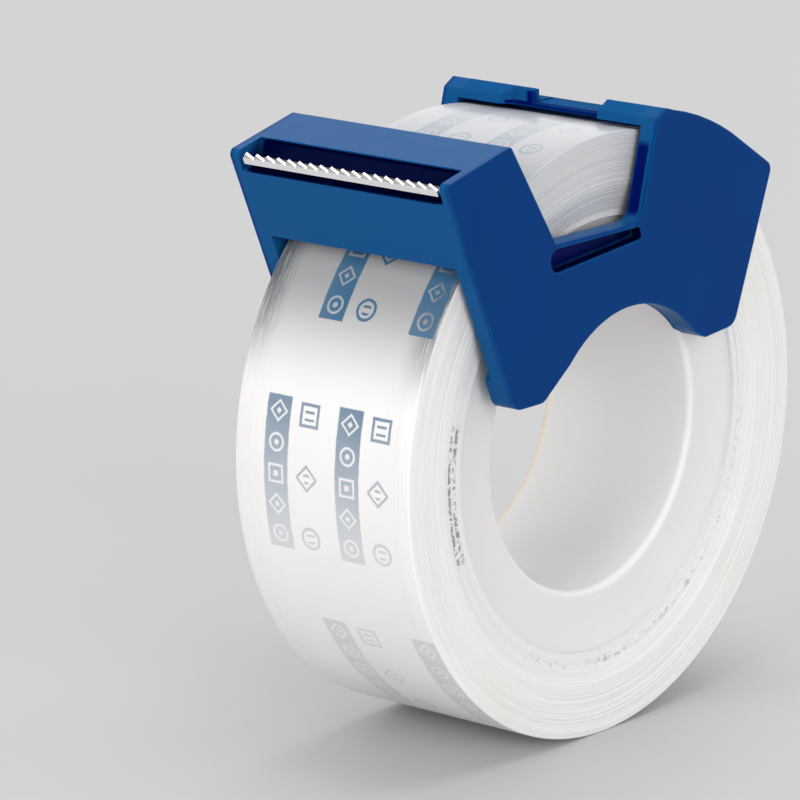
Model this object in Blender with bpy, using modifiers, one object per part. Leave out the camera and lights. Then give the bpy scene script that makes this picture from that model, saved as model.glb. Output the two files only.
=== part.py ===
"""Clip-on tape cutter on a wound roll of clear tape.

Frame: metres, +Z up. The roll stands on its rim on z = 0 and turns about an axis along X.
The cutter head points to -Y, and the rear bridge lies towards +Y. The origin is on the ground
below the middle of the roll.
"""
import math

import bmesh
import bpy
from mathutils import Matrix

MM = 0.001

# Roll
ROLL_RADIUS = 25.0 * MM
ROLL_WIDTH = 18.0 * MM
BORE_RADIUS = 13.0 * MM
CORE_RADIUS = 18.0 * MM
CORE_HALF_WIDTH = 7.6 * MM
CORE_FACE_RISE = 0.5 * MM
CORE_RIM_ROUND = 0.5 * MM
CORE_FACE_STEP = 1.5 * MM
ROUND_MIDDLE = 1.0 - math.sqrt(0.5)
LABEL_THICKNESS = 0.3 * MM
LABEL_HALF_WIDTH = 8.6 * MM
TAPE_EDGE_ROUND = 0.12 * MM
FIT_GAP = 0.3 * MM
ROLL_STEPS = 72

# Clip frame, seen from the side: (y, z, corner radius) in millimetres about the roll's axis
CLIP_HALF_WIDTH = 11.1 * MM
CHEEK_INNER = 9.5 * MM
HEAD_INNER = 10.3 * MM
WALL = 1.2
OVERSHOOT = 2.0
POCKET_MARGIN = 0.05
HEAD_TIP = (-23.1, 24.5)
HEAD_BACK = (-15.2, 26.45)
LEG_FRONT = (-14.48, 5.2)
PLATE_TOP = 1.86
PLATE_BOTTOM = 7.89
SLOT_DEPTH = 3.15
NOTCH_FLOOR = 17.75
BRIDGE_FRONT = (3.6, 25.8)
BRIDGE_CREST = (4.8, 26.5)
BRIDGE_BACK = 5.4
TIE_BACK = 10.3
TIE_OUTER_RADIUS = 26.4
TIE_FRONT = 4.5
UNDER_START = 84.0
TIE_TOP = 25.4
TIE_DROP = 0.1
TIE_UNDER_RADIUS = 25.35
REAR_RADIUS = 26.85
ARCH_CENTRE = (0.5, -0.2)
ARCH_RADIUS = 11.25
FAR_PAD_END = -2.5
FAR_PAD_STEP = -4.5
FAR_PAD_FRONT = -5.1
NEAR_PAD_END = 5.0
PAD_STEP_BACK = 4.65
PAD_CUT_FLOOR = 24.0
PAD_CUT_TOP = 29.0
GROOVE_DEPTH = 1.1 * MM
CUT_PAST = 0.5 * MM
BOSS_RADIUS = 17.3 * MM
BOSS_HEIGHT = 0.6 * MM
LIP_OUTER = 12.6
LIP_INNER = 11.5
LIP_FROM = 76.0
LIP_TO = 138.0
LIP_LENGTH = 2.7 * MM
EDGE_BEVEL = 0.25 * MM
BEVEL_SEGMENTS = 3
SMOOTH_CORNER = 35.0

# Cutter blade: a toothed lip in the plane of the head's front, and a root bent back into the head
BLADE_HALF_LENGTH = 9.9 * MM
BLADE_THICKNESS = 0.25 * MM
BLADE_TEETH = 18
TOOTH_HEIGHT = 0.5 * MM
BLADE_TIP_DROP = 0.15 * MM
BLADE_LIP_HEIGHT = 1.0 * MM
BLADE_SETBACK = 0.1 * MM
BLADE_ROOT = 2.2 * MM
SEAT_DROP = 0.35 * MM
SEAT_DEPTH = 1.1 * MM
SEAT_FRONT = 1.0 * MM
SEAT_BACK = 2.6 * MM
SEAT_END_BITE = 0.3 * MM
SLOT_WALL_BACK = 3.4 * MM
SLOT_WALL_TOP = 24.9 * MM
TOOTH_RAKE = 0.62
ROOT_INSET = 0.2 * MM
ROOT_TUCK = 0.03 * MM

ARC_STEP = 4.0
FILLET_STEP = 15.0


def clear_scene():
    for item in list(bpy.data.objects):
        bpy.data.objects.remove(item, do_unlink=True)


def new_collection(name):
    group = bpy.data.collections.new(name)
    bpy.context.scene.collection.children.link(group)
    return group


def finish(name, colour, roughness, metallic=0.0):
    material = bpy.data.materials.new(name)
    material.use_nodes = True
    shader = material.node_tree.nodes["Principled BSDF"]
    shader.inputs["Base Color"].default_value = (*colour, 1.0)
    shader.inputs["Roughness"].default_value = roughness
    shader.inputs["Metallic"].default_value = metallic
    return material


def arc(centre, radius, start, end):
    """Points of an arc in the side view, in millimetres, from start to end in degrees."""
    count = max(2, round(abs(end - start) / ARC_STEP))
    angles = [math.radians(start + (end - start) * i / count) for i in range(count + 1)]
    return [(centre[0] + radius * math.cos(a), centre[1] + radius * math.sin(a), 0.0) for a in angles]


def rounded(points):
    """Replaces each corner of (y, z, radius) by a fillet."""
    outline = []
    count = len(points)
    for index, (y, z, radius) in enumerate(points):
        if radius == 0.0:
            outline.append((y, z))
            continue
        before = points[index - 1]
        after = points[(index + 1) % count]
        outline.extend(fillet((y, z), before, after, radius))
    return outline


def fillet(corner, before, after, radius):
    to_before = unit(before[0] - corner[0], before[1] - corner[1])
    to_after = unit(after[0] - corner[0], after[1] - corner[1])
    opening = math.acos(to_before[0] * to_after[0] + to_before[1] * to_after[1])
    reach = radius / math.tan(opening / 2)
    middle = unit(to_before[0] + to_after[0], to_before[1] + to_after[1])
    away = radius / math.sin(opening / 2)
    centre = (corner[0] + middle[0] * away, corner[1] + middle[1] * away)
    first = (corner[0] + to_before[0] * reach, corner[1] + to_before[1] * reach)
    last = (corner[0] + to_after[0] * reach, corner[1] + to_after[1] * reach)
    start = math.atan2(first[1] - centre[1], first[0] - centre[0])
    turn = math.atan2(last[1] - centre[1], last[0] - centre[0]) - start
    turn = (turn + math.pi) % (2 * math.pi) - math.pi
    steps = max(2, round(abs(math.degrees(turn)) / FILLET_STEP))
    angles = [start + turn * i / steps for i in range(steps + 1)]
    return [(centre[0] + radius * math.cos(a), centre[1] + radius * math.sin(a)) for a in angles]


def unit(y, z):
    length = math.hypot(y, z)
    return (y / length, z / length)


def along(start, end, distance, inset=0.0):
    """A point on the line from start to end, moved inset to the right of that direction."""
    y, z = unit(end[0] - start[0], end[1] - start[1])
    return (start[0] + y * distance + z * inset, start[1] + z * distance - y * inset)


def flat_drawing(name, outline, thickness, group):
    """A filled outline in its own plane, in millimetres, with a thickness in metres."""
    curve = bpy.data.curves.new(name, "CURVE")
    curve.dimensions = "2D"
    curve.fill_mode = "BOTH"
    curve.extrude = thickness / 2
    spline = curve.splines.new("POLY")
    spline.points.add(len(outline) - 1)
    for point, (across, up) in zip(spline.points, outline):
        point.co = (across * MM, up * MM, 0.0, 1.0)
    spline.use_cyclic_u = True
    drawing = bpy.data.objects.new(name, curve)
    group.objects.link(drawing)
    return drawing


def side_slab(name, outline, x_from, x_to, group):
    """A closed slab: the outline in the Y-Z plane, in millimetres, from x_from to x_to in metres."""
    drawing = flat_drawing(name, outline, x_to - x_from, group)
    side_view = Matrix(((0, 0, 1, 0), (1, 0, 0, 0), (0, 1, 0, 0), (0, 0, 0, 1)))
    drawing.matrix_world = Matrix.Translation(((x_from + x_to) / 2, 0, ROLL_RADIUS)) @ side_view
    return curve_to_mesh(drawing, group)


def curve_to_mesh(drawing, group):
    bpy.context.view_layer.update()
    evaluated = drawing.evaluated_get(bpy.context.evaluated_depsgraph_get())
    mesh = bpy.data.meshes.new_from_object(evaluated)
    name = drawing.name
    place = drawing.matrix_world.copy()
    bpy.data.objects.remove(drawing, do_unlink=True)
    shape = bmesh.new()
    shape.from_mesh(mesh)
    bmesh.ops.remove_doubles(shape, verts=shape.verts, dist=0.000001)
    bmesh.ops.recalc_face_normals(shape, faces=shape.faces)
    shape.to_mesh(mesh)
    shape.free()
    solid = bpy.data.objects.new(name, mesh)
    solid.matrix_world = place
    group.objects.link(solid)
    return solid


def box(name, low, high, group):
    mesh = bpy.data.meshes.new(name)
    shape = bmesh.new()
    bmesh.ops.create_cube(shape, size=1.0)
    shape.to_mesh(mesh)
    shape.free()
    solid = bpy.data.objects.new(name, mesh)
    size = [h - l for l, h in zip(low, high)]
    mesh.transform(Matrix.Diagonal((*size, 1.0)))
    solid.location = [(l + h) / 2 for l, h in zip(low, high)]
    group.objects.link(solid)
    return solid


def disc(name, radius, x_from, x_to, group):
    """A cylinder about the roll's axis."""
    mesh = bpy.data.meshes.new(name)
    shape = bmesh.new()
    bmesh.ops.create_cone(shape, cap_ends=True, segments=ROLL_STEPS, radius1=radius, radius2=radius,
                          depth=x_to - x_from)
    shape.to_mesh(mesh)
    shape.free()
    solid = bpy.data.objects.new(name, mesh)
    solid.rotation_euler = (0.0, math.pi / 2, 0.0)
    solid.location = ((x_from + x_to) / 2, 0.0, ROLL_RADIUS)
    group.objects.link(solid)
    return solid


def as_cutter(solid):
    solid.hide_render = True
    solid.display_type = "WIRE"
    return solid


def combine(target, tool, operation):
    modifier = target.modifiers.new(tool.name, "BOOLEAN")
    modifier.operation = operation
    modifier.solver = "EXACT"
    modifier.object = as_cutter(tool)


def cheek_outline():
    """The whole side outline of the clip: head, notch, rear part, foot, arch and leg."""
    head = [(*HEAD_BACK, 0.4), (-9.5, NOTCH_FLOOR, 0.4), (1.53, NOTCH_FLOOR, 1.4)]
    bridge = [(*BRIDGE_FRONT, 0.3), (*BRIDGE_CREST, 0.3)]
    rear = arc((0.0, 0.0), REAR_RADIUS, 78.0, 56.0) + [(19.15, 19.65, 0.8)]
    foot = [(14.3, 7.0, 1.3), (10.3, 6.65, 0.5)]
    arch = arc(ARCH_CENTRE, ARCH_RADIUS, 42.0, 135.0)
    leg = [(-10.9, LEG_FRONT[1], 1.0), (*LEG_FRONT, 1.1), (*HEAD_TIP, 0.5)]
    return rounded(head + bridge + rear + foot + arch + leg)


def hollow_outline():
    """What is cut away between the cheeks: all but the top and front plates and the bridge."""
    plate_low_out = along(HEAD_TIP, LEG_FRONT, PLATE_BOTTOM, OVERSHOOT)
    plate_low_in = along(HEAD_TIP, LEG_FRONT, PLATE_BOTTOM, -WALL)
    plate_high_in = along(HEAD_TIP, LEG_FRONT, PLATE_TOP, -WALL)
    plate_high_out = along(HEAD_TIP, LEG_FRONT, PLATE_TOP, OVERSHOOT)
    top_front_out = along(HEAD_TIP, HEAD_BACK, SLOT_DEPTH, -OVERSHOOT)
    top_front_in = along(HEAD_TIP, HEAD_BACK, SLOT_DEPTH, WALL)
    top_back_in = along(HEAD_TIP, HEAD_BACK, 10.0, WALL)
    under_end = math.degrees(math.acos(TIE_BACK / TIE_UNDER_RADIUS))
    under = [p[:2] for p in arc((0.0, 0.0), TIE_UNDER_RADIUS, UNDER_START, under_end)]
    over_start = math.degrees(math.acos(TIE_BACK / TIE_OUTER_RADIUS))
    over_end = math.degrees(math.asin(TIE_TOP / TIE_OUTER_RADIUS))
    over = [p[:2] for p in arc((0.0, 0.0), TIE_OUTER_RADIUS, over_start, over_end)]
    tie_back = over + [(BRIDGE_BACK, TIE_TOP)]
    around = [(BRIDGE_BACK, 30.0), (32.0, 30.0), (32.0, -4.0), (-32.0, -4.0)]
    slot = [plate_low_out, plate_low_in, plate_high_in, plate_high_out, (-27.0, 27.0)]
    head = [top_front_out, top_front_in, top_back_in]
    return slot + head + under + tie_back + around


def head_pocket_outline():
    """The wider room inside the head, where the side walls are thin."""
    wall = WALL + POCKET_MARGIN
    lip = PLATE_TOP - POCKET_MARGIN
    depth = SLOT_DEPTH - POCKET_MARGIN
    plate_high_out = along(HEAD_TIP, LEG_FRONT, lip, OVERSHOOT)
    plate_high_in = along(HEAD_TIP, LEG_FRONT, lip, -wall)
    plate_low_in = along(HEAD_TIP, LEG_FRONT, PLATE_BOTTOM - 1.0, -wall)
    top_front_out = along(HEAD_TIP, HEAD_BACK, depth, -OVERSHOOT)
    top_front_in = along(HEAD_TIP, HEAD_BACK, depth, wall)
    top_back_in = along(HEAD_TIP, HEAD_BACK, 7.0, wall)
    return [plate_high_out, (-27.0, 27.0), top_front_out, top_front_in, top_back_in, (-14.5, 21.5),
            plate_low_in, plate_high_in]


def groove_outline():
    return rounded([(-10.4, 17.35, 0.9), (1.3, 17.4, 0.25), (1.75, 16.4, 0.3), (-9.9, 15.35, 0.95)])


def lip_outline():
    outer = arc((0.0, 0.0), LIP_OUTER, LIP_FROM, LIP_TO)
    inner = arc((0.0, 0.0), LIP_INNER, LIP_TO, LIP_FROM)
    return [p[:2] for p in outer + inner]


def between_cheeks_cutter(cutters):
    """The room between the cheeks, less the bosses round the arch and the lips in the bore."""
    room = side_slab("between_cheeks", hollow_outline(), -CHEEK_INNER, CHEEK_INNER, cutters)
    for side, name in ((1, "near"), (-1, "far")):
        boss_inner = CHEEK_INNER - BOSS_HEIGHT
        beyond = CHEEK_INNER + CUT_PAST
        ends = sorted((side * boss_inner, side * beyond))
        combine(room, disc(f"{name}_boss", BOSS_RADIUS, *ends, cutters), "DIFFERENCE")
        ends = sorted((side * (boss_inner - LIP_LENGTH), side * beyond))
        combine(room, side_slab(f"{name}_lip", lip_outline(), *ends, cutters), "DIFFERENCE")
    return room


def cut_grooves(frame, cutters):
    for side, name in ((1, "near"), (-1, "far")):
        ends = sorted((side * (CLIP_HALF_WIDTH - GROOVE_DEPTH), side * (CLIP_HALF_WIDTH + CUT_PAST)))
        combine(frame, side_slab(f"{name}_groove", groove_outline(), *ends, cutters), "DIFFERENCE")


def cut_bridge(frame, cutters):
    """Leaves two raised pads on the thin tie bar, the far one with a stepped end."""
    top = TIE_TOP - TIE_DROP
    back = BRIDGE_BACK + OVERSHOOT
    gap = [(0.0, PAD_CUT_FLOOR), (TIE_FRONT, PAD_CUT_FLOOR), (TIE_FRONT, top), (back, top),
           (back, PAD_CUT_TOP), (0.0, PAD_CUT_TOP)]
    combine(frame, side_slab("bridge_gap", gap, FAR_PAD_END * MM, NEAR_PAD_END * MM, cutters), "DIFFERENCE")
    front = BRIDGE_FRONT[0] - OVERSHOOT
    end = FAR_PAD_END + OVERSHOOT
    plan = [(FAR_PAD_FRONT, front), (FAR_PAD_FRONT, BRIDGE_FRONT[0]), (FAR_PAD_STEP, PAD_STEP_BACK),
            (end, PAD_STEP_BACK), (end, front)]
    height = (PAD_CUT_TOP - PAD_CUT_FLOOR) * MM
    combine(frame, plan_prism("far_pad_step", plan, ROLL_RADIUS + PAD_CUT_FLOOR * MM, height, cutters),
            "DIFFERENCE")


def plan_prism(name, plan, bottom, height, group):
    """A closed prism: the plan in the X-Y plane, in millimetres, standing on bottom, in metres."""
    drawing = flat_drawing(name, plan, height, group)
    drawing.location = (0.0, 0.0, bottom + height / 2)
    return curve_to_mesh(drawing, group)


def blade_corner():
    """The bend of the blade in the side view, on the outer side of the toothed lip."""
    drop = (BLADE_TIP_DROP + BLADE_LIP_HEIGHT) / MM
    return along(HEAD_TIP, LEG_FRONT, drop, -BLADE_SETBACK / MM)


def make_clip_frame(parts, cutters, material):
    frame = side_slab("clip_frame", cheek_outline(), -CLIP_HALF_WIDTH, CLIP_HALF_WIDTH, parts)
    combine(frame, between_cheeks_cutter(cutters), "DIFFERENCE")
    combine(frame, side_slab("head_pocket", head_pocket_outline(), -HEAD_INNER, HEAD_INNER, cutters),
            "DIFFERENCE")
    cut_bridge(frame, cutters)
    cut_grooves(frame, cutters)
    add_blade_seat(frame, cutters)
    rounding = frame.modifiers.new("rounded_edges", "BEVEL")
    rounding.width = EDGE_BEVEL
    rounding.segments = BEVEL_SEGMENTS
    rounding.limit_method = "ANGLE"
    rounding.angle_limit = math.radians(SMOOTH_CORNER)
    frame.data.materials.append(material)
    return frame


def add_blade_seat(frame, cutters):
    """The bar across the head that carries the blade's root, and the wall behind it that closes the slot."""
    y, z = [value * MM for value in blade_corner()]
    half = HEAD_INNER + SEAT_END_BITE
    seat_bottom = ROLL_RADIUS + z - SEAT_DROP - SEAT_DEPTH
    low = (-half, y + SEAT_FRONT, seat_bottom)
    high = (half, y + SEAT_BACK, ROLL_RADIUS + z - SEAT_DROP)
    combine(frame, box("blade_seat", low, high, cutters), "UNION")
    low = (-half, y + SEAT_BACK - SEAT_END_BITE, seat_bottom + SEAT_END_BITE)
    high = (half, y + SLOT_WALL_BACK, ROLL_RADIUS + SLOT_WALL_TOP)
    combine(frame, box("slot_wall", low, high, cutters), "UNION")


def blade_lip_outline():
    """The toothed lip in its own plane, in millimetres: x along the blade, y up to the tips."""
    half = BLADE_HALF_LENGTH / MM
    pitch = 2 * half / BLADE_TEETH
    low = -BLADE_LIP_HEIGHT / MM
    root = -TOOTH_HEIGHT / MM
    points = [(half, low), (half, root)]
    for tooth in range(BLADE_TEETH):
        start = half - tooth * pitch
        points.append((start - pitch * TOOTH_RAKE, 0.0))
        points.append((start - pitch, root))
    points.append((-half, low))
    return points


def make_blade(parts, cutters, material):
    blade = plan_prism("cutter_blade", blade_lip_outline(), -BLADE_THICKNESS, BLADE_THICKNESS, parts)
    tip = along(HEAD_TIP, LEG_FRONT, BLADE_TIP_DROP / MM, -BLADE_SETBACK / MM)
    lean = math.atan2(HEAD_TIP[0] - LEG_FRONT[0], HEAD_TIP[1] - LEG_FRONT[1])
    blade.matrix_world = (Matrix.Translation((0.0, tip[0] * MM, ROLL_RADIUS + tip[1] * MM))
                          @ Matrix.Rotation(math.pi / 2 - lean, 4, "X") @ blade.matrix_world)
    y, z = blade_corner()
    low = (-BLADE_HALF_LENGTH + ROOT_INSET, y * MM + ROOT_TUCK, ROLL_RADIUS + z * MM)
    high = (BLADE_HALF_LENGTH - ROOT_INSET, y * MM + BLADE_ROOT, ROLL_RADIUS + z * MM + BLADE_THICKNESS)
    combine(blade, box("blade_root", low, high, cutters), "UNION")
    blade.data.materials.append(material)
    return blade


def turned(name, profile, parts, material):
    """A ring about the roll's axis. The profile is (x, radius), closed, down its outer side."""
    mesh = bpy.data.meshes.new(name)
    shape = bmesh.new()
    verts = [shape.verts.new((radius, 0.0, x)) for x, radius in profile]
    for index, vert in enumerate(verts):
        shape.edges.new((verts[index - 1], vert))
    shape.to_mesh(mesh)
    shape.free()
    ring = bpy.data.objects.new(name, mesh)
    parts.objects.link(ring)
    flat_side_down = Matrix.Rotation(math.pi / ROLL_STEPS, 4, "Z")
    on_axis = Matrix.Translation((0.0, 0.0, ROLL_RADIUS)) @ Matrix.Rotation(math.pi / 2, 4, "Y")
    ring.matrix_world = on_axis @ flat_side_down
    screw = ring.modifiers.new("turn", "SCREW")
    screw.axis = "Z"
    screw.steps = ROLL_STEPS
    screw.render_steps = ROLL_STEPS
    screw.use_merge_vertices = True
    screw.merge_threshold = 0.00001
    screw.use_smooth_shade = True
    ring.data.materials.append(material)
    return ring


def make_core(parts, material):
    face = CORE_HALF_WIDTH
    outer_face = face + CORE_FACE_RISE
    rim = CORE_RIM_ROUND
    middle = ROUND_MIDDLE * rim
    step = CORE_RADIUS - CORE_FACE_STEP
    profile = [
        (outer_face, CORE_RADIUS), (-outer_face, CORE_RADIUS), (-face, step),
        (-face, BORE_RADIUS + rim), (-face + middle, BORE_RADIUS + middle),
        (-face + rim, BORE_RADIUS), (face - rim, BORE_RADIUS),
        (face - middle, BORE_RADIUS + middle), (face, BORE_RADIUS + rim), (face, step),
    ]
    return turned("tape_core", profile, parts, material)


def make_label(parts, material):
    inner = CORE_RADIUS + FIT_GAP
    outer = inner + LABEL_THICKNESS
    half = LABEL_HALF_WIDTH
    return turned("label_sleeve", [(half, outer), (-half, outer), (-half, inner), (half, inner)],
                  parts, material)


def make_tape(parts, material):
    inner = CORE_RADIUS + 2 * FIT_GAP + LABEL_THICKNESS
    half = ROLL_WIDTH / 2
    edge = TAPE_EDGE_ROUND
    profile = [(half, ROLL_RADIUS - edge), (half - edge, ROLL_RADIUS), (-half + edge, ROLL_RADIUS),
               (-half, ROLL_RADIUS - edge), (-half, inner), (half, inner)]
    return turned("wound_tape", profile, parts, material)


def main():
    clear_scene()
    parts = new_collection("tape_dispenser")
    cutters = new_collection("cutters")
    blue = finish("clip_blue", (0.01, 0.1, 0.28), 0.35)
    steel = finish("blade_steel", (0.8, 0.8, 0.8), 0.25, metallic=1.0)
    core_white = finish("core_plastic", (0.72, 0.71, 0.7), 0.4)
    paper = finish("label_paper", (0.85, 0.85, 0.85), 0.7)
    film = finish("tape_film", (0.8, 0.8, 0.8), 0.2)
    make_clip_frame(parts, cutters, blue)
    make_blade(parts, cutters, steel)
    make_core(parts, core_white)
    make_label(parts, paper)
    make_tape(parts, film)


main()
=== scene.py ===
"""The looks of a clip-on tape cutter on its roll: a moulded clip, a steel blade, a core and wound film."""
import math
import random

import bmesh
import bpy
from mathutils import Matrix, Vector


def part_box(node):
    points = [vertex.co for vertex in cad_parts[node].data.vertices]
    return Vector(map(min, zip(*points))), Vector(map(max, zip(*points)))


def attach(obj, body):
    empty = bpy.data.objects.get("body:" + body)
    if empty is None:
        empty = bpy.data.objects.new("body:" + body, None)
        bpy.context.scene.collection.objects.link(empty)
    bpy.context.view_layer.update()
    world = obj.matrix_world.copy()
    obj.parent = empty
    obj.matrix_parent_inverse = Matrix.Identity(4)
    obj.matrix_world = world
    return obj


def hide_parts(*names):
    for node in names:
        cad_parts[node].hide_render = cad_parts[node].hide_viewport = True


MM = 0.001

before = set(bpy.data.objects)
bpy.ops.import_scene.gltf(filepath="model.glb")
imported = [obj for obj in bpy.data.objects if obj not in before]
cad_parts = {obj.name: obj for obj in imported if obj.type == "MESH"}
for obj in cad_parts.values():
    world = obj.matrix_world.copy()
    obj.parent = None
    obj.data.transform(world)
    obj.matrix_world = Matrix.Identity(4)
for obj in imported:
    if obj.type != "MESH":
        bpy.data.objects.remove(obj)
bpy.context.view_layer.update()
film_low, film_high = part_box("wound_tape")
core_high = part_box("tape_core")[1]

ROLL_RADIUS = (film_high.z - film_low.z) / 2
ROLL_CENTRE = Vector((0.0, 0.0, ROLL_RADIUS))
FILM_HALF_WIDTH = film_high.x
CORE_HALF_WIDTH = core_high.x

# Fineness of the round pieces, and the steepest corner that is still shaded as a curve, in degrees
TURN_STEPS = 360
EDGE_ROUND_STEPS = 4
BORE_LIP_STEPS = 6
ACROSS_STEPS = 12
CORNER_ANGLE = 40.0

# Core, in millimetres about its axis. Its dished face has points (out from the face, in from the rim).
BORE_RADIUS = 13.0
CORE_RADIUS = 18.1
CORE_DISH = 0.5
CORE_DISH_POINTS = ((0.30, 0.9), (0.12, 2.0))
CORE_FLAT = 1.3
BORE_LIP = 0.55
BORE_LIP_STAND = 0.05

# Paper strip
LABEL_INNER = 18.0
LABEL_OUTER = 18.7
LABEL_HALF_WIDTH = 8.4

# Film. Each turn shifts sideways from the one outside it, and keeps a share of that one's shift.
FILM_INNER = 18.6
FILM_DIP = 0.45
FILM_DIP_END = 21.0
FILM_EDGE_ROUND = 0.15
LAYER_COUNT = 70
LAYER_SHIFT = 0.014
LAYER_SHIFT_ROOM = 1.6
LAYER_SHIFT_KEPT = 0.45
LAYER_EDGE = 0.15
LAYER_WOBBLE = 0.012

# Joining of the carried-over facets, in metres and degrees
WELD_GAP = 0.000002
FLAT_ANGLE = 0.4

# How open a recess still is, where shade is painted, and how far the surface turns at an edge, where
# highlights are painted, as a cosine: full and no effect
RECESS_OPENNESS = (0.38, 0.80)
EDGE_COSINES = (0.86, 0.99)

# Light: the world's strength, then each lamp's name, place, size and power in watts
WORLD_STRENGTH = 0.64
LAMPS = (
    ("key_softbox", (-0.10, -1.15, 0.34), (0.9, 0.9), 6.0),
    ("top_softbox", (0.05, 0.15, 1.05), (0.8, 0.8), 4.6),
    ("side_softbox", (1.05, -0.50, 0.30), (0.8, 0.8), 7.0),
    ("back_softbox", (-0.62, 0.78, 0.42), (1.0, 0.6), 1.7),
)
FLOOR_HALF_SIZE = 3.0

# Camera: where it stands about the roll's centre, and where it looks
CAMERA_AZIMUTH = 38.634
CAMERA_ELEVATION = 14.328
CAMERA_DISTANCE = 0.42492
LOOK_AZIMUTH = 40.002
LOOK_ELEVATION = 14.126
FIELD_OF_VIEW = 8.823
SENSOR = 36.0


# ---------------------------------------------------------------- node helpers

def new_material(name, roughness, metallic=0.0, specular=0.5, coat=0.0, coat_roughness=0.1):
    material = bpy.data.materials.new(name)
    material.use_nodes = True
    tree = material.node_tree
    shader = tree.nodes["Principled BSDF"]
    shader.inputs["Roughness"].default_value = roughness
    shader.inputs["Metallic"].default_value = metallic
    shader.inputs["Specular IOR Level"].default_value = specular
    shader.inputs["Coat Weight"].default_value = coat
    shader.inputs["Coat Roughness"].default_value = coat_roughness
    return material, tree, shader


def set_subsurface(shader, weight, radius, scale):
    shader.inputs["Subsurface Weight"].default_value = weight
    shader.inputs["Subsurface Radius"].default_value = radius
    shader.inputs["Subsurface Scale"].default_value = scale


def put(tree, socket, value):
    """Links a socket, or sets a plain value."""
    if isinstance(value, bpy.types.NodeSocket):
        tree.links.new(value, socket)
    else:
        socket.default_value = value


def calc(tree, operation, *values, clamp=False):
    node = tree.nodes.new("ShaderNodeMath")
    node.operation = operation
    node.use_clamp = clamp
    for socket, value in zip(node.inputs, values):
        put(tree, socket, value)
    return node.outputs[0]


def scaled(tree, value, gain, base=0.0):
    """The value times gain, plus base."""
    return calc(tree, "ADD", base, calc(tree, "MULTIPLY", value, gain))


def opposite(tree, mask):
    return calc(tree, "SUBTRACT", 1.0, mask)


def over(tree, value, start, gain):
    """0 below start, then rising to 1 at the rate of gain."""
    return calc(tree, "MULTIPLY", calc(tree, "SUBTRACT", value, start, clamp=True), gain, clamp=True)


def ramp_down(tree, value, start, end):
    """1 below start, 0 above end, smooth in between."""
    node = tree.nodes.new("ShaderNodeMapRange")
    node.interpolation_type = "SMOOTHSTEP"
    put(tree, node.inputs["Value"], value)
    put(tree, node.inputs["From Min"], start)
    put(tree, node.inputs["From Max"], end)
    node.inputs["To Min"].default_value = 1.0
    node.inputs["To Max"].default_value = 0.0
    return node.outputs["Result"]


def span(tree, value, low, high, soft):
    """1 between low and high, 0 outside, with soft edges."""
    centre = (low + high) / 2
    half = (high - low) / 2
    off = calc(tree, "ABSOLUTE", calc(tree, "SUBTRACT", value, centre))
    return ramp_down(tree, off, half - soft, half + soft)


def both(tree, *masks):
    result = masks[0]
    for mask in masks[1:]:
        result = calc(tree, "MULTIPLY", result, mask)
    return result


def either(tree, *masks):
    result = masks[0]
    for mask in masks[1:]:
        result = calc(tree, "MAXIMUM", result, mask)
    return result


def mix(tree, factor, first, second):
    node = tree.nodes.new("ShaderNodeMix")
    node.data_type = "RGBA"
    put(tree, node.inputs["Factor"], factor)
    put(tree, node.inputs[6], first)
    put(tree, node.inputs[7], second)
    return node.outputs[2]


def colour(red, green, blue):
    return (red, green, blue, 1.0)


def noise(tree, vector, scale, detail=2.0, roughness=0.5):
    node = tree.nodes.new("ShaderNodeTexNoise")
    put(tree, node.inputs["Vector"], vector)
    node.inputs["Scale"].default_value = scale
    node.inputs["Detail"].default_value = detail
    node.inputs["Roughness"].default_value = roughness
    return node.outputs["Fac"]


def stretched(tree, *axes):
    """A place whose axes are each (value, factor), or a value or number as it is."""
    node = tree.nodes.new("ShaderNodeCombineXYZ")
    for socket, axis in zip(node.inputs, axes):
        put(tree, socket, calc(tree, "MULTIPLY", *axis) if isinstance(axis, tuple) else axis)
    return node.outputs[0]


def object_mm(tree):
    """The object coordinate in millimetres, as a vector and as its three parts."""
    place = tree.nodes.new("ShaderNodeTexCoord")
    in_mm = tree.nodes.new("ShaderNodeVectorMath")
    in_mm.operation = "SCALE"
    tree.links.new(place.outputs["Object"], in_mm.inputs[0])
    in_mm.inputs["Scale"].default_value = 1.0 / MM
    parts = tree.nodes.new("ShaderNodeSeparateXYZ")
    tree.links.new(in_mm.outputs[0], parts.inputs[0])
    return in_mm.outputs[0], tuple(parts.outputs)


def length_of(tree, a, b):
    """How far the point (a, b) lies from the middle."""
    squares = calc(tree, "ADD", calc(tree, "MULTIPLY", a, a), calc(tree, "MULTIPLY", b, b))
    return calc(tree, "SQRT", squares)


def add_bump(tree, shader, height, strength, distance):
    node = tree.nodes.new("ShaderNodeBump")
    node.inputs["Strength"].default_value = strength
    node.inputs["Distance"].default_value = distance
    put(tree, node.inputs["Height"], height)
    tree.links.new(node.outputs["Normal"], shader.inputs["Normal"])


def recess_mask(tree, reach):
    """1 deep in slots and grooves, where shade is painted, 0 on open faces."""
    node = tree.nodes.new("ShaderNodeAmbientOcclusion")
    node.samples = 8
    node.only_local = True
    node.inputs["Distance"].default_value = reach
    return ramp_down(tree, node.outputs["AO"], *RECESS_OPENNESS)


def edge_mask(tree, radius):
    """1 along outer edges, where highlights are painted, 0 on flat faces."""
    bevel = tree.nodes.new("ShaderNodeBevel")
    bevel.samples = 6
    bevel.inputs["Radius"].default_value = radius
    geometry = tree.nodes.new("ShaderNodeNewGeometry")
    turn = tree.nodes.new("ShaderNodeVectorMath")
    turn.operation = "DOT_PRODUCT"
    tree.links.new(bevel.outputs["Normal"], turn.inputs[0])
    tree.links.new(geometry.outputs["True Normal"], turn.inputs[1])
    return ramp_down(tree, turn.outputs["Value"], *EDGE_COSINES)


# ---------------------------------------------------------------- clip

# Colours: two flow-mark tones; a lighter tone of painted light on all but the cheeks' outer faces; painted
# shade on shaded faces, darker painted shade in recesses; painted highlights along edges; the shine's tint.
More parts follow.
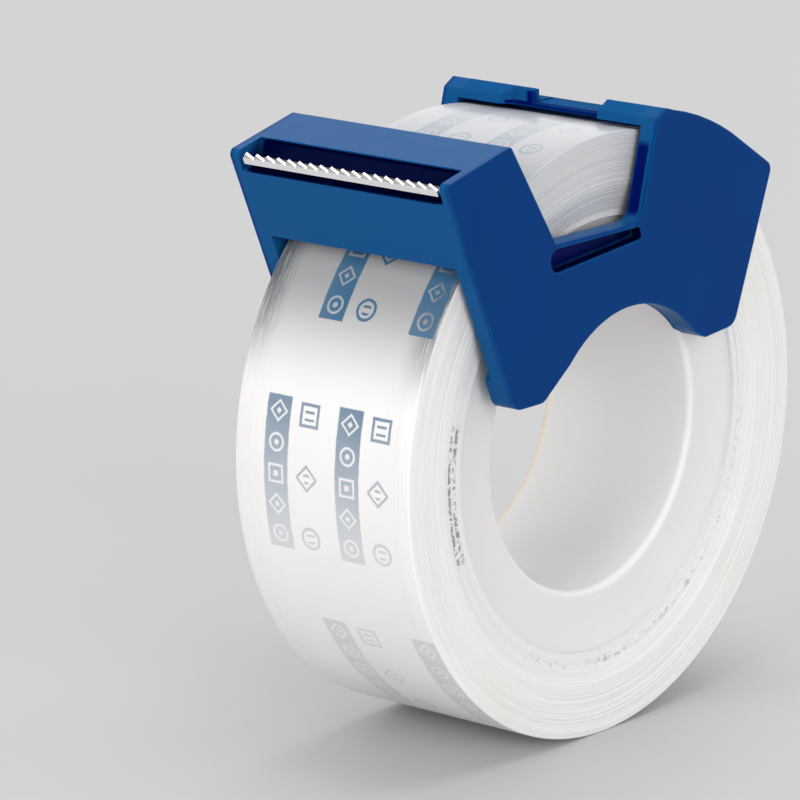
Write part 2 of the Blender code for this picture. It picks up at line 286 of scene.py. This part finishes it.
CLIP_TONES = (colour(0.0, 0.031, 0.158), colour(0.0001, 0.040, 0.185))
CLIP_LIT_TONE = colour(0.006, 0.078, 0.235)
CLIP_SHADED_TONE = colour(0.0, 0.004, 0.105)
CLIP_RECESS_SHADE_TONE = colour(0.0, 0.001, 0.026)
CLIP_EDGE_HIGHLIGHT_TONE = colour(0.002, 0.090, 0.300)
CLIP_SHINE_TONE = colour(0.10, 0.50, 1.0)
CLIP_RECESS_REACH = 0.0045
CLIP_HIGHLIGHT_RADIUS = 0.00035

# The clip's places are in millimetres from the part's origin. This is the slot behind the blade, under
# a sloped plate, whose walls get painted shade.
SLOT_HALF_WIDTH = 9.9
SLOT_END_SOFT = 0.2
SLOT_FRONT = -22.3
SLOT_BACK = -19.0
SLOT_SOFT = 0.1
SLOT_LOW = 47.75
PLATE_SLOPE = 0.247
PLATE_SKIN = 55.08

# Boxes with soft edges where shade is painted: from, to and softness, first outwards or along X, then
# along Y, then along Z
GROOVE_BOX = ((9.7, 10.95, 0.04), (-12.0, 9.0, 0.2), (38.5, 42.6, 0.05))
NOTCH_WALL_BOX = ((9.0, 10.6, 0.1), (0.0, 4.3, 0.1), (43.2, 48.8, 0.3))
PAD_END_BOX = ((-3.2, -1.85, 0.15), (4.2, 4.9, 0.05), (50.0, 51.25, 0.12))

# Front face of the tie bar between the pads and its upper edge, where shade is painted, and how far out
# the dull bridge reaches
TIE_FRONT_BOX = ((-9.0, 9.0, 0.1), (3.9, 5.1, 0.05))
TIE_HIGH = 50.34
BRIDGE_END = (9.0, 9.4)
# How far out, in millimetres, the lighter painted-light tone reaches before the cheeks' outer faces
CHEEK_SKIN = (10.6, 11.08)


def soft_box(tree, place, box):
    """1 inside a box, 0 outside, with soft edges."""
    return both(tree, *[span(tree, value, *stretch) for value, stretch in zip(place, box)])


def slot_mask(tree, side, y, z):
    """1 on the walls of the slot behind the blade, where shade is painted, and not on the plate's own faces.
    """
    under_plate = calc(tree, "SUBTRACT", z, calc(tree, "MULTIPLY", y, PLATE_SLOPE))
    return both(tree, ramp_down(tree, side, SLOT_HALF_WIDTH, SLOT_HALF_WIDTH + SLOT_END_SOFT),
                span(tree, y, SLOT_FRONT, SLOT_BACK, SLOT_SOFT),
                calc(tree, "GREATER_THAN", z, SLOT_LOW),
                calc(tree, "LESS_THAN", under_plate, PLATE_SKIN))


def clip_material():
    """Cobalt-blue moulded plastic: satin, mould grain, flow marks, a lighter painted-light tone on all but
    the cheeks' outer faces, painted highlights along edges and painted shade in grooves, recesses and the
    slot.
    """
    material, tree, shader = new_material("clip_plastic_look", roughness=0.34, specular=0.07)
    shader.inputs["Specular Tint"].default_value = CLIP_SHINE_TONE
    vector, (x, y, z) = object_mm(tree)
    side = calc(tree, "ABSOLUTE", x)
    tone = mix(tree, noise(tree, vector, 0.09, detail=3.0), *CLIP_TONES)
    # A lighter tone on all but the cheeks' outer faces: painted light.
    tone = mix(tree, ramp_down(tree, side, *CHEEK_SKIN), tone, CLIP_LIT_TONE)

    # Painted shade in the groove, on the notch wall, on the tie bar's front and at a pad's end.
    in_groove = soft_box(tree, (side, y, z), GROOVE_BOX)
    notch_wall = soft_box(tree, (side, y, z), NOTCH_WALL_BOX)
    pad_end = soft_box(tree, (x, y, z), PAD_END_BOX)
    tie_front = both(tree, soft_box(tree, (x, y), TIE_FRONT_BOX), calc(tree, "LESS_THAN", z, TIE_HIGH))
    shaded = either(tree, in_groove, notch_wall, tie_front, pad_end)
    tone = mix(tree, shaded, tone, CLIP_SHADED_TONE)

    # Painted shade, nearly black, deep in recesses and on the walls of the slot behind the blade.
    behind_blade = slot_mask(tree, side, y, z)
    deep = either(tree, recess_mask(tree, CLIP_RECESS_REACH), behind_blade)
    tone = mix(tree, deep, tone, CLIP_RECESS_SHADE_TONE)
    # Painted highlights along the outer edges, broken by noise and kept out of the slot.
    edge_highlight = both(tree, edge_mask(tree, CLIP_HIGHLIGHT_RADIUS), noise(tree, vector, 0.7, detail=3.0),
                opposite(tree, behind_blade))
    put(tree, shader.inputs["Base Color"], mix(tree, edge_highlight, tone, CLIP_EDGE_HIGHLIGHT_TONE))

    scuff = noise(tree, stretched(tree, (x, 0.35), y, (z, 3.0)), 0.8, detail=4.0, roughness=0.65)
    dull_bridge = both(tree, ramp_down(tree, side, *BRIDGE_END), calc(tree, "GREATER_THAN", y, 0.0))
    put(tree, shader.inputs["Roughness"], either(tree, scaled(tree, scuff, 0.14, 0.27), dull_bridge))
    grain = noise(tree, vector, 5.0, detail=3.0, roughness=0.6)
    add_bump(tree, shader, grain, strength=0.12, distance=0.00004)
    return material


# ---------------------------------------------------------------- blade

STEEL_TONES = (colour(0.92, 0.93, 0.94), colour(0.98, 0.98, 0.98))
TOOTH_TONE = colour(0.56, 0.53, 0.52)
TOOTH_SHARE = 0.75
TEETH_LOW = 49.02


def steel_material():
    """Bright rolled steel strip, with fine lines along its length and a darker tone over the teeth."""
    material, tree, shader = new_material("blade_steel_look", roughness=0.22, metallic=1.0)
    x, y, z = object_mm(tree)[1]
    lines = noise(tree, stretched(tree, (x, 0.15), (y, 9.0), (z, 9.0)), 1.0, detail=3.0)
    bright = mix(tree, lines, *STEEL_TONES)
    teeth = calc(tree, "MULTIPLY", calc(tree, "GREATER_THAN", z, TEETH_LOW), TOOTH_SHARE)
    put(tree, shader.inputs["Base Color"], mix(tree, teeth, bright, TOOTH_TONE))
    put(tree, shader.inputs["Roughness"], scaled(tree, lines, 0.16, 0.34))
    add_bump(tree, shader, lines, strength=0.25, distance=0.00002)
    return material


# ---------------------------------------------------------------- core and paper

CORE_TONES = (colour(0.715, 0.705, 0.695), colour(0.770, 0.760, 0.750))
# The bore's inside is lighter: painted light where the bore's walls lie in shade.
BORE_LIGHT_TONE = colour(0.850, 0.832, 0.822)
BORE_REACH = (13.1, 13.6)
FAR_RIM_TONE = colour(0.90, 0.80, 0.62)
FAR_RIM_STRETCH = (-8.2, -7.0, 0.15)
FAR_RIM_REACH = (13.3, 13.9)

PAPER_TONES = (colour(0.70, 0.70, 0.71), colour(0.82, 0.82, 0.82))
PAPER_LINE_TONE = colour(0.12, 0.26, 0.42)
PAPER_LINE = (7.4, 7.7, 0.05)


def core_material():
    """Smooth grey-white moulded plastic, a little translucent, lighter inside the bore as painted light, with
    a warm rim at one end of the bore.
    """
    material, tree, shader = new_material("core_plastic_look", roughness=0.38, specular=0.4)
    set_subsurface(shader, 0.25, (1.0, 0.9, 0.8), 0.0015)
    vector, (x, y, z) = object_mm(tree)
    radius = length_of(tree, y, z)
    plain = mix(tree, noise(tree, vector, 0.12, detail=2.0), *CORE_TONES)
    plain = mix(tree, ramp_down(tree, radius, *BORE_REACH), plain, BORE_LIGHT_TONE)
    far_rim = both(tree, span(tree, x, *FAR_RIM_STRETCH), ramp_down(tree, radius, *FAR_RIM_REACH))
    put(tree, shader.inputs["Base Color"], mix(tree, far_rim, plain, FAR_RIM_TONE))
    grain = noise(tree, vector, 3.0, detail=3.0)
    add_bump(tree, shader, grain, strength=0.08, distance=0.00004)
    return material


def label_material():
    """White coated paper with a faint fibre tone and a fine blue register line near each edge."""
    material, tree, shader = new_material("label_paper_look", roughness=0.6, specular=0.3)
    vector, parts = object_mm(tree)
    fibre = noise(tree, vector, 6.0, detail=4.0, roughness=0.7)
    paper = mix(tree, fibre, *PAPER_TONES)
    line = span(tree, calc(tree, "ABSOLUTE", parts[0]), *PAPER_LINE)
    put(tree, shader.inputs["Base Color"], mix(tree, line, paper, PAPER_LINE_TONE))
    add_bump(tree, shader, fibre, strength=0.15, distance=0.00003)
    return material


# ---------------------------------------------------------------- film

# Printed pattern that shows through the film. Degrees round the roll, millimetres across it. The
# columns of a row start at the first place, or past the third number at the second.
PRINT_START = -15.2
ROW_STEP = 44.0
EVEN_COLUMNS = (-5.9, 1.45, 0.2)
ODD_COLUMNS = (-2.85, 6.35, 4.6)
BAR_LENGTH = 29.0
BAR_WIDTH = 2.45
BAR_SOFT = 0.07
BAR_SHAPE_HALF = 0.80
BAR_SHAPE_CLEAR = 0.85
CELL_STEP = 5.8
MARK_START = 3.35
MARK_WIDTH = 2.1
MARK_HALF = 1.0
MARK_FIRST = 3.0
MARK_STEP = 11.6
MARK_SOFT = (0.02, 0.2)
DEGREE_MM = math.radians(1.0) * 25.0

# Plain shapes in the print, in shares of their half width: outline, middle dot and strokes
SHAPE_KINDS = 3.0
LOZENGE_SIZE = 0.85
OUTLINE = (0.72, 0.98, 0.06)
DOT = (0.22, 0.36)
STROKE_COUNT = 1.6
STROKE = (0.25, 0.6, 0.08)
STROKE_END = (0.45, 0.52)

# How strongly the print shows: fully near the peak, in degrees, and fading away from it
PRINT_TONE = colour(0.010, 0.110, 0.225)
PRINT_PEAK = 34.0
PRINT_FADE = (6.0, 56.0)
PRINT_LEAST = 0.22
PRINT_GAIN = 0.74
PRINT_WAVE = 0.14

# Outer surface. A painted shadow of the head greys the film under it, where dark streaks near the edges
# stand partly for rubbing and partly for painted shadow and reflection of the head; painted shade lies
# further on. Degrees round the roll, millimetres across it.
FILM_OUTSIDE = 24.8
FILM_WHITES = (colour(0.815, 0.803, 0.788), colour(0.860, 0.848, 0.833))
STREAK_TONE = colour(0.52, 0.53, 0.55)
EDGE_FADE = (8.9, 5.0)
HEAD_ANGLE = 44.0
# Painted shadow of the head on the film under it
HEAD_SHADOW_TONE = colour(0.28, 0.28, 0.285)
HEAD_SHADOW_FADE = (6.0, 31.0)
HEAD_SHADOW_SHARE = 0.86
# Dark streaks under the head near the film's edges: partly rubbing, partly painted shadow and reflection
RUB_AND_SHADOW_TONE = colour(0.06, 0.07, 0.09)
RUB_AND_SHADOW_FADE = (6.0, 30.0)
RUB_AND_SHADOW_ACROSS = (8.6, 6.0)
RUB_AND_SHADOW_SHARE = 0.95
SHADE_TONE = colour(0.38, 0.395, 0.42)
SHADE_STRETCH = (55.0, 128.0, 9.0)
SHADE_SHARE = 0.85

# Sides of the roll
SIDE_TONES = (colour(0.800, 0.785, 0.755), colour(0.850, 0.840, 0.835))
SIDE_SHADE_TONE = colour(0.50, 0.515, 0.535)
TURN_TONE = colour(0.60, 0.60, 0.60)
TICK_TONE = colour(0.16, 0.18, 0.22)

# Dashes at the sides: two crisp columns at the front, and a softer ring lower down. Radii in millimetres
# and angles in degrees, each with its softness.
TICK_COLUMNS = ((18.75, 19.25, 0.06), (19.5, 19.95, 0.06))
TICK_STRETCH = (-21.0, 13.0, 1.5)
TICK_SHARE = 0.85
LOW_TICK_RING = (18.65, 19.2, 0.15)
LOW_TICK_STRETCH = (-180.0, -55.0, 8.0)
LOW_TICK_SHARE = 0.5


def from_column(tree, x, first, second, split):
    """How far x lies from the start of the print column that it falls in."""
    start = scaled(tree, calc(tree, "GREATER_THAN", x, split), second - first, first)
    return calc(tree, "SUBTRACT", x, start)


def printed_pattern(tree, x, angle):
    """1 on the print: bars that hold outlined plain shapes, and small marks beside them."""
    from_start = calc(tree, "SUBTRACT", angle, PRINT_START)
    along_rows = calc(tree, "FLOORED_MODULO", from_start, 2 * ROW_STEP)
    odd = calc(tree, "GREATER_THAN", along_rows, ROW_STEP)
    along = calc(tree, "FLOORED_MODULO", along_rows, ROW_STEP)
    across = calc(tree, "ADD", both(tree, from_column(tree, x, *ODD_COLUMNS), odd),
                  both(tree, from_column(tree, x, *EVEN_COLUMNS), opposite(tree, odd)))
    block = both(tree, span(tree, across, 0.0, BAR_WIDTH, BAR_SOFT),
                 span(tree, along, 0.0, BAR_LENGTH, BAR_SOFT / DEGREE_MM))
    shapes = cell_shapes(tree, across, along, BAR_WIDTH / 2, CELL_STEP, 0.0, BAR_SHAPE_HALF)
    bar = both(tree, block, opposite(tree, calc(tree, "MULTIPLY", shapes, BAR_SHAPE_CLEAR)))
    zone = both(tree, span(tree, across, MARK_START, MARK_START + MARK_WIDTH, MARK_SOFT[0]),
                span(tree, along, 0.0, BAR_LENGTH, MARK_SOFT[1]))
    marks = cell_shapes(tree, across, along, MARK_START + MARK_WIDTH / 2, MARK_STEP,
                        MARK_FIRST - MARK_STEP / 2, MARK_HALF, strokes=True)
    return either(tree, bar, both(tree, zone, marks))


def cell_shapes(tree, across, along, middle, step, start, half, strokes=False):
    """Outlined circle, lozenge and square in turn, one in each cell along the print."""
    shifted = calc(tree, "DIVIDE", calc(tree, "SUBTRACT", along, start), step)
    index = calc(tree, "FLOORED_MODULO", calc(tree, "FLOOR", shifted), SHAPE_KINDS)
    a = calc(tree, "DIVIDE", calc(tree, "SUBTRACT", across, middle), half)
    within = calc(tree, "SUBTRACT", calc(tree, "FRACT", shifted), 0.5)
    b = calc(tree, "MULTIPLY", within, step * DEGREE_MM / half)
    a_size = calc(tree, "ABSOLUTE", a)
    b_size = calc(tree, "ABSOLUTE", b)
    circle = length_of(tree, a, b)
    lozenge = calc(tree, "MULTIPLY", calc(tree, "ADD", a_size, b_size), LOZENGE_SIZE)
    square = calc(tree, "MAXIMUM", a_size, b_size)
    is_first = calc(tree, "LESS_THAN", index, 0.5)
    is_last = calc(tree, "GREATER_THAN", index, 1.5)
    is_middle = opposite(tree, calc(tree, "ADD", is_first, is_last))
    later = calc(tree, "ADD", both(tree, lozenge, is_middle), both(tree, square, is_last))
    distance = calc(tree, "ADD", both(tree, circle, is_first), later)
    outline = span(tree, distance, *OUTLINE)
    if not strokes:
        return either(tree, outline, ramp_down(tree, distance, *DOT))
    lines = span(tree, calc(tree, "FRACT", calc(tree, "MULTIPLY", b, STROKE_COUNT)), *STROKE)
    return either(tree, outline, both(tree, lines, ramp_down(tree, distance, *STROKE_END)))


def print_strength(tree, angle, slow):
    """How strongly the print shows at an angle, with slow changes."""
    from_peak = calc(tree, "ABSOLUTE", calc(tree, "SUBTRACT", angle, PRINT_PEAK))
    strength = scaled(tree, ramp_down(tree, from_peak, *PRINT_FADE), PRINT_GAIN, PRINT_LEAST)
    return both(tree, strength, scaled(tree, slow, 0.5, 0.72))


def outer_film(tree, vector, x, angle, lines, shaded):
    """Colour of the outer surface: milky white, fine streaks, a painted shadow of the head with dark streaks
    under it, partly rubbing and partly painted shadow and reflection, painted shade further on, print.
    """
    side = calc(tree, "ABSOLUTE", x)
    slow = noise(tree, vector, 0.16, detail=2.0)
    streak = both(tree, calc(tree, "SUBTRACT", lines, 0.35, clamp=True),
                  scaled(tree, ramp_down(tree, side, *EDGE_FADE), 0.45, 0.12))
    surface = mix(tree, streak, mix(tree, slow, *FILM_WHITES), STREAK_TONE)
    scratch = noise(tree, stretched(tree, (x, 9.0), (angle, 0.12), 5.0), 1.0, detail=3.0, roughness=0.75)
    off_head = calc(tree, "ABSOLUTE", calc(tree, "SUBTRACT", angle, HEAD_ANGLE))
    # Dark streaks near the edges under the head: partly rubbing, partly painted shadow and reflection of the
    # head.
    rub_and_shadow = both(tree, over(tree, scratch, 0.36, 6.5), ramp_down(tree, off_head, *RUB_AND_SHADOW_FADE),
                  ramp_down(tree, side, *RUB_AND_SHADOW_ACROSS), RUB_AND_SHADOW_SHARE)
    # Painted shadow of the head, greying the film under it.
    head_shadow = calc(tree, "MULTIPLY", ramp_down(tree, off_head, *HEAD_SHADOW_FADE), HEAD_SHADOW_SHARE)
    surface = mix(tree, head_shadow, surface, HEAD_SHADOW_TONE)
    surface = mix(tree, rub_and_shadow, surface, RUB_AND_SHADOW_TONE)
    surface = mix(tree, shaded, surface, SHADE_TONE)
    wave = calc(tree, "MULTIPLY", calc(tree, "SUBTRACT", noise(tree, vector, 1.3), 0.5), PRINT_WAVE)
    pattern = printed_pattern(tree, calc(tree, "ADD", x, wave), calc(tree, "ADD", angle, wave))
    return mix(tree, both(tree, pattern, print_strength(tree, angle, slow)), surface, PRINT_TONE)


def film_sides(tree, vector, radius, angle, turns, shaded):
    """Colour of the sides: pale, with the grey lines of the turns and broken dashes near the core."""
    side = mix(tree, noise(tree, vector, 0.11, detail=1.0), *SIDE_TONES)
    side = mix(tree, shaded, side, SIDE_SHADE_TONE)
    side = mix(tree, over(tree, turns, 0.42, 1.5), side, TURN_TONE)
    return mix(tree, side_ticks(tree, radius, angle), side, TICK_TONE)


def side_ticks(tree, radius, angle):
    """Broken dark dashes where the print under the first turns shows at the roll's sides."""
    fine = noise(tree, stretched(tree, (angle, 0.85), (radius, 1.5), 3.0), 1.0, detail=2.0, roughness=0.7)
    columns = either(tree, *[span(tree, radius, *column) for column in TICK_COLUMNS])
    front = both(tree, columns, over(tree, fine, 0.47, 16.0), span(tree, angle, *TICK_STRETCH), TICK_SHARE)
    dash = noise(tree, stretched(tree, (angle, 0.45), (radius, 1.4), 7.0), 1.0, detail=3.0, roughness=0.8)
    low = both(tree, span(tree, radius, *LOW_TICK_RING), over(tree, dash, 0.53, 9.0),
               span(tree, angle, *LOW_TICK_STRETCH), LOW_TICK_SHARE)
    return either(tree, front, low)


def film_material():
    """Clear film wound to a milky white, with print, streaks round the roll and the turns at its sides."""
    material, tree, shader = new_material("tape_film_look", roughness=0.42, coat=0.35, coat_roughness=0.16)
    set_subsurface(shader, 0.3, (1.0, 1.0, 1.0), 0.0012)
    vector, (x, y, z) = object_mm(tree)
    angle = calc(tree, "DEGREES", calc(tree, "ARCTAN2", z, calc(tree, "MULTIPLY", y, -1.0)))
    radius = length_of(tree, y, z)
    outer = calc(tree, "GREATER_THAN", radius, FILM_OUTSIDE)
    shaded = both(tree, span(tree, angle, *SHADE_STRETCH), SHADE_SHARE)
    lines = noise(tree, stretched(tree, (x, 3.0), (angle, 0.004), 0.0), 1.0, detail=4.0, roughness=0.7)
    turns = noise(tree, stretched(tree, (radius, 5.0), (y, 0.05), (z, 0.05)), 1.0, detail=5.0, roughness=0.75)
    put(tree, shader.inputs["Base Color"],
        mix(tree, outer, film_sides(tree, vector, radius, angle, turns, shaded),
            outer_film(tree, vector, x, angle, lines, shaded)))
    relief = calc(tree, "ADD", both(tree, lines, outer), both(tree, turns, opposite(tree, outer)))
    add_bump(tree, shader, relief, strength=0.35, distance=0.00005)
    return material


# ---------------------------------------------------------------- floor

FLOOR_TONES = (colour(0.510, 0.510, 0.515), colour(0.535, 0.535, 0.54))


def floor_material():
    """Plain pale floor with a faint slow cloud of tone."""
    material, tree, shader = new_material("floor_look", roughness=0.65, specular=0.2)
    place = tree.nodes.new("ShaderNodeTexCoord")
    cloud = noise(tree, place.outputs["Object"], 2.0)
    put(tree, shader.inputs["Base Color"], mix(tree, cloud, *FLOOR_TONES))
    return material


def make_floor():
    mesh = bpy.data.meshes.new("floor")
    shape = bmesh.new()
    bmesh.ops.create_grid(shape, x_segments=1, y_segments=1, size=FLOOR_HALF_SIZE)
    shape.to_mesh(mesh)
    shape.free()
    floor = bpy.data.objects.new("floor", mesh)
    bpy.context.scene.collection.objects.link(floor)
    mesh.materials.append(floor_material())


# ---------------------------------------------------------------- pieces

def turned(name, profile, material, wobble=None):
    """A closed ring about the roll's axis from a closed profile of (x, radius) in millimetres."""
    shape = bmesh.new()
    loops = []
    for step in range(TURN_STEPS):
        angle = 2 * math.pi * step / TURN_STEPS
        loop = []
        for index, (x, radius) in enumerate(profile):
            shift = wobble(index, angle) if wobble else 0.0
            loop.append(shape.verts.new(((x + shift) * MM, radius * MM * math.cos(angle),
                                         radius * MM * math.sin(angle))))
        loops.append(loop)
    for here, ahead in zip(loops, loops[1:] + loops[:1]):
        for index in range(len(profile)):
            following = (index + 1) % len(profile)
            shape.faces.new((here[index], here[following], ahead[following], ahead[index]))
    bmesh.ops.recalc_face_normals(shape, faces=shape.faces)
    mesh = bpy.data.meshes.new(name)
    shape.to_mesh(mesh)
    shape.free()
    mesh.shade_smooth()
    mesh.set_sharp_from_angle(angle=math.radians(CORNER_ANGLE))
    mesh.materials.append(material)
    piece = bpy.data.objects.new(name, mesh)
    piece.location = ROLL_CENTRE
    bpy.context.scene.collection.objects.link(piece)
    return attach(piece, "roll")


def mirrored(points):
    """The same points on the other side of the roll's middle, in reverse order."""
    return [(-x, radius) for x, radius in reversed(points)]


def make_core():
    """The core: a dished face at each side, and a rounded lip at each end of the plain bore."""
    half = CORE_HALF_WIDTH / MM
    face = half - CORE_DISH
    near = [(half, CORE_RADIUS)]
    near += [(face + out, CORE_RADIUS - inwards) for out, inwards in CORE_DISH_POINTS]
    near += [(face, BORE_RADIUS + CORE_FLAT)]
    for step in range(BORE_LIP_STEPS + 1):
        a = math.radians(90.0 * step / BORE_LIP_STEPS)
        near.append((face + BORE_LIP * (math.cos(a) - 1.0) + BORE_LIP_STAND,
                     BORE_RADIUS + BORE_LIP * (1.0 - math.sin(a))))
    core = turned("tape_core_body", near + mirrored(near), core_material())
    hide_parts("tape_core")


def make_label():
    """The paper strip between the core and the film."""
    half = LABEL_HALF_WIDTH
    profile = [(-half, LABEL_OUTER), (half, LABEL_OUTER), (half, LABEL_INNER), (-half, LABEL_INNER)]
    label = turned("label_paper_strip", profile, label_material())
    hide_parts("label_sleeve")


def rounded_edge(x, radius, size):
    """Points of a quarter turn about (x, radius), from the outer surface round to the side."""
    angles = [math.radians(90.0 - 90.0 * i / EDGE_ROUND_STEPS) for i in range(EDGE_ROUND_STEPS + 1)]
    return [(x + size * math.cos(a), radius + size * math.sin(a)) for a in angles]


def make_film():
    """The wound film: its turns stand a little in and out at both sides, and dip towards the core."""
    draw = random.Random(7)
    half = FILM_HALF_WIDTH / MM - LAYER_SHIFT * LAYER_SHIFT_ROOM
    flat_half = half - FILM_EDGE_ROUND
    outer = ROLL_RADIUS / MM
    side_top = outer - FILM_EDGE_ROUND
    thickness = (side_top - FILM_INNER) / LAYER_COUNT

    def side_x(radius):
        inward = max(0.0, (FILM_DIP_END - radius) / (FILM_DIP_END - FILM_INNER))
        return half - FILM_DIP * inward * inward * (3.0 - 2.0 * inward)

    near = rounded_edge(flat_half, side_top, FILM_EDGE_ROUND)
    edge_points = len(near)
    shift = 0.0
    for layer in range(LAYER_COUNT):
        shift = shift * LAYER_SHIFT_KEPT + draw.uniform(-LAYER_SHIFT, LAYER_SHIFT)
        top = side_top - layer * thickness
        near.append((side_x(top) + shift, top - LAYER_EDGE * thickness))
        near.append((side_x(top - thickness) + shift, top - (1.0 - LAYER_EDGE) * thickness))
    across = [(2 * flat_half * i / ACROSS_STEPS - flat_half, outer) for i in range(1, ACROSS_STEPS)]
    profile = near + mirrored(near) + across
    phases = [draw.uniform(0.0, 2 * math.pi) for _ in profile]

    def wobble(index, angle):
        in_sides = edge_points <= index < 2 * len(near) - edge_points
        return LAYER_WOBBLE * math.sin(angle + phases[index // 2]) if in_sides else 0.0

    film = turned("wound_film", profile, film_material(), wobble)
    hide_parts("wound_tape")


def crisp_corner_nodes():
    """Geometry nodes that keep every corner steeper than CORNER_ANGLE crisp."""
    group = bpy.data.node_groups.new("crisp_corners", "GeometryNodeTree")
    group.interface.new_socket("Geometry", in_out="INPUT", socket_type="NodeSocketGeometry")
    group.interface.new_socket("Geometry", in_out="OUTPUT", socket_type="NodeSocketGeometry")
    source = group.nodes.new("NodeGroupInput")
    result = group.nodes.new("NodeGroupOutput")
    corner = group.nodes.new("GeometryNodeInputMeshEdgeAngle")
    steep = group.nodes.new("FunctionNodeCompare")
    steep.operation = "GREATER_THAN"
    steep.inputs[1].default_value = math.radians(CORNER_ANGLE)
    shade = group.nodes.new("GeometryNodeSetShadeSmooth")
    shade.domain = "EDGE"
    shade.inputs["Shade Smooth"].default_value = False
    group.links.new(corner.outputs["Unsigned Angle"], steep.inputs[0])
    group.links.new(source.outputs[0], shade.inputs[0])
    group.links.new(steep.outputs[0], shade.inputs["Selection"])
    group.links.new(shade.outputs[0], result.inputs[0])
    return group


def finish_node(node, material):
    """A carried-over piece: joined facets, smooth curves and an even finish."""
    node.data.materials.clear()
    node.data.materials.append(material)
    for polygon in node.data.polygons:
        polygon.use_smooth = True
        polygon.material_index = 0
    weld = node.modifiers.new("weld", "WELD")
    weld.merge_threshold = WELD_GAP
    flat = node.modifiers.new("flat_faces", "DECIMATE")
    flat.decimate_type = "DISSOLVE"
    flat.angle_limit = math.radians(FLAT_ANGLE)
    corners = node.modifiers.new("crisp_corners", "NODES")
    corners.node_group = crisp_corner_nodes()
    normals = node.modifiers.new("even_faces", "WEIGHTED_NORMAL")
    normals.weight = 100
    normals.keep_sharp = True


# ---------------------------------------------------------------- light and camera

def area_light(name, place, size, power):
    """A rectangular lamp that faces the roll."""
    light = bpy.data.lights.new(name, "AREA")
    light.shape = "RECTANGLE"
    light.size = size[0]
    light.size_y = size[1]
    light.energy = power
    lamp = bpy.data.objects.new(name, light)
    lamp.location = place
    lamp.rotation_mode = "QUATERNION"
    lamp.rotation_quaternion = (ROLL_CENTRE - Vector(place)).to_track_quat("-Z", "Y")
    bpy.context.scene.collection.objects.link(lamp)


def make_light():
    world = bpy.data.worlds.new("studio")
    world.use_nodes = True
    background = world.node_tree.nodes["Background"]
    background.inputs["Color"].default_value = colour(1.0, 1.0, 1.0)
    background.inputs["Strength"].default_value = WORLD_STRENGTH
    bpy.context.scene.world = world
    for lamp in LAMPS:
        area_light(*lamp)
    bpy.context.scene.view_settings.view_transform = "Standard"


def direction(azimuth, elevation):
    """The unit vector at these degrees; azimuth 0 is along -Y."""
    a = math.radians(azimuth)
    e = math.radians(elevation)
    return Vector((math.sin(a) * math.cos(e), -math.cos(a) * math.cos(e), math.sin(e)))


def make_camera():
    data = bpy.data.cameras.new("camera")
    data.sensor_width = SENSOR
    data.lens = SENSOR / 2 / math.tan(math.radians(FIELD_OF_VIEW / 2))
    data.clip_start = 0.01
    camera = bpy.data.objects.new("camera", data)
    camera.location = ROLL_CENTRE + direction(CAMERA_AZIMUTH, CAMERA_ELEVATION) * CAMERA_DISTANCE
    camera.rotation_mode = "QUATERNION"
    camera.rotation_quaternion = (-direction(LOOK_AZIMUTH, LOOK_ELEVATION)).to_track_quat("-Z", "Y")
    bpy.context.scene.collection.objects.link(camera)
    bpy.context.scene.camera = camera


make_core()
make_label()
make_film()
finish_node(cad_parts["clip_frame"], clip_material())
finish_node(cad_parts["cutter_blade"], steel_material())
make_floor()
make_light()
make_camera()
